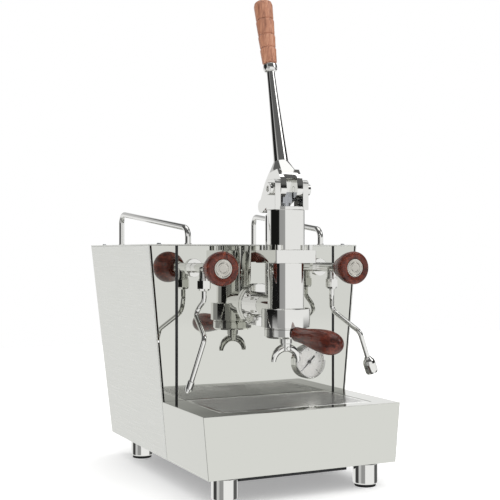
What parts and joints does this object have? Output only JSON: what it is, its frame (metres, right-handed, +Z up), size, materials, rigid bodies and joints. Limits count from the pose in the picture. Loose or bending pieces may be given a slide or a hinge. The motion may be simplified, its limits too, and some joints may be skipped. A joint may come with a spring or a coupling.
{
  "type": "espresso machine",
  "caption": "Lever espresso machine with leaning steel housing, drip tray base, spring lever group, portafilter, valves, swivelling wands and cup rails.",
  "frame": {"origin": "on the floor, under the middle of the machine's bounding box", "axes": "+Z up, the user stands at -Y and looks along +Y, +X to the user's right"},
  "size_m": [0.3914, 0.5902, 0.7993],
  "materials": {
    "mirror_steel": "mirror-polished stainless steel",
    "satin_steel": "satin stainless steel sheet",
    "tray_steel": "brushed stainless steel",
    "chassis_paint": "black powder coat",
    "chrome": "polished chrome plate",
    "screw_steel": "machined stainless steel",
    "spring_steel": "oiled spring steel",
    "copper": "drawn copper",
    "brass": "turned brass",
    "pump_enamel": "grey machine enamel",
    "tank_plastic": "clear-tinted moulded plastic",
    "black_plastic": "moulded black plastic",
    "switch_plastic": "red moulded plastic",
    "pad_rubber": "moulded rubber",
    "gasket_rubber": "silicone rubber",
    "knob_wood": "lacquered dark red-brown hardwood",
    "grip_wood": "oiled walnut",
    "medallion": "plain brushed medallion",
    "dial_enamel": "white dial enamel",
    "needle_paint": "black needle paint",
    "gauge_glass": "flat glass"
  },
  "bodies": {
    "machine": {"base_cover": "mirror_steel", "side_panel_left": "satin_steel", "side_panel_right": "satin_steel", "front_panel": "mirror_steel", "front_strips": "mirror_steel", "rear_panel": "satin_steel", "top_frame": "satin_steel", "cup_rails": "chrome", "chassis": "chassis_paint", "feet": "chrome", "foot_pads": "pad_rubber", "panel_screws": "screw_steel", "boiler": "copper", "heating_element": "brass", "boiler_fittings": "brass", "pipes": "copper", "water_tank": "tank_plastic", "pump": "pump_enamel", "control_box": "black_plastic", "power_inlet": "black_plastic", "group_head": "chrome", "group_bolts": "screw_steel", "lower_cylinder": "chrome", "cylinder_flange": "chrome", "spring_housing": "chrome", "lever_yoke": "chrome", "stop_post": "chrome", "fulcrum_pins": "chrome", "shower_screen": "screw_steel", "group_gasket": "gasket_rubber", "group_spring": "spring_steel", "valve_bodies": "chrome", "outlet_nuts": "chrome", "gauge_case": "chrome", "gauge_dial": "dial_enamel", "gauge_glass": "gauge_glass"},
    "lever": {"lever_fork": "chrome", "crank_pin": "screw_steel", "lever_shaft": "chrome", "lever_grip": "grip_wood"},
    "piston_set": {"piston_rod": "screw_steel", "piston": "brass"},
    "portafilter": {"portafilter_body": "chrome", "filter_basket": "screw_steel", "double_spout": "chrome", "handle_ferrule": "chrome", "portafilter_handle": "knob_wood"},
    "steam_control": {"steam_knob": "knob_wood", "steam_knob_core": "medallion"},
    "water_control": {"water_knob": "knob_wood", "water_knob_core": "medallion"},
    "steam_arm": {"steam_wand": "chrome", "steam_tip": "chrome"},
    "water_arm": {"water_wand": "chrome", "water_outlet": "chrome"},
    "needle": {"gauge_needle": "needle_paint"},
    "tray": {"drip_tray": "tray_steel"},
    "grille": {"drip_grille": "tray_steel"},
    "cup_shelf": {"cup_tray": "satin_steel"},
    "rocker": {"power_switch": "switch_plastic"}
  },
  "joints": [
    {"name": "lever_swing", "type": "hinge", "parent": "machine", "child": "lever", "pos_m": [0, -0.135, 0.478], "axis": [1, 0, 0], "range_deg": [0, 96], "stiffness_Nm_per_rad": 20, "springref_deg": -11.46},
    {"name": "piston_lift", "type": "slide", "parent": "machine", "child": "piston_set", "axis": [0, 0, 1], "range_m": [0, 0.02695], "deforming": ["group_spring"]},
    {"name": "portafilter_twist", "type": "hinge", "parent": "machine", "child": "portafilter", "pos_m": [0, -0.127, 0.258], "axis": [0, 0, 1], "range_deg": [-50, 0]},
    {"name": "steam_knob_turn", "type": "hinge", "parent": "machine", "child": "steam_control", "pos_m": [-0.118, -0.115, 0.352], "axis": [0, -1, 0], "range_deg": [0, 450]},
    {"name": "water_knob_turn", "type": "hinge", "parent": "machine", "child": "water_control", "pos_m": [0.118, -0.115, 0.352], "axis": [0, -1, 0], "range_deg": [0, 450]},
    {"name": "steam_wand_swivel", "type": "hinge", "parent": "machine", "child": "steam_arm", "pos_m": [-0.118, -0.07, 0.32], "axis": [0, 0, 1], "range_deg": [-60, 80]},
    {"name": "water_wand_swivel", "type": "hinge", "parent": "machine", "child": "water_arm", "pos_m": [0.118, -0.07, 0.32], "axis": [0, 0, 1], "range_deg": [-80, 60]},
    {"name": "needle_sweep", "type": "hinge", "parent": "machine", "child": "needle", "pos_m": [0.097, -0.03, 0.188], "axis": [0, 1, 0], "range_deg": [0, 270]},
    {"name": "drip_tray_lift", "type": "slide", "parent": "machine", "child": "tray", "axis": [0, 0, 1], "range_m": [0, 0.012]},
    {"name": "drip_grille_lift", "type": "slide", "parent": "tray", "child": "grille", "axis": [0, 0, 1], "range_m": [0, 0.009]},
    {"name": "cup_tray_lift", "type": "slide", "parent": "machine", "child": "cup_shelf", "axis": [0, 0, 1], "range_m": [0, 0.06]},
    {"name": "power_rocker", "type": "hinge", "parent": "machine", "child": "rocker", "pos_m": [0.077, 0.26799, 0.085], "axis": [1, 0, 0], "range_deg": [0, 14]}
  ],
  "couplings": [
    {"joint": "piston_lift", "follows": "lever_swing", "m_per_rad": 0.015967}
  ]
}
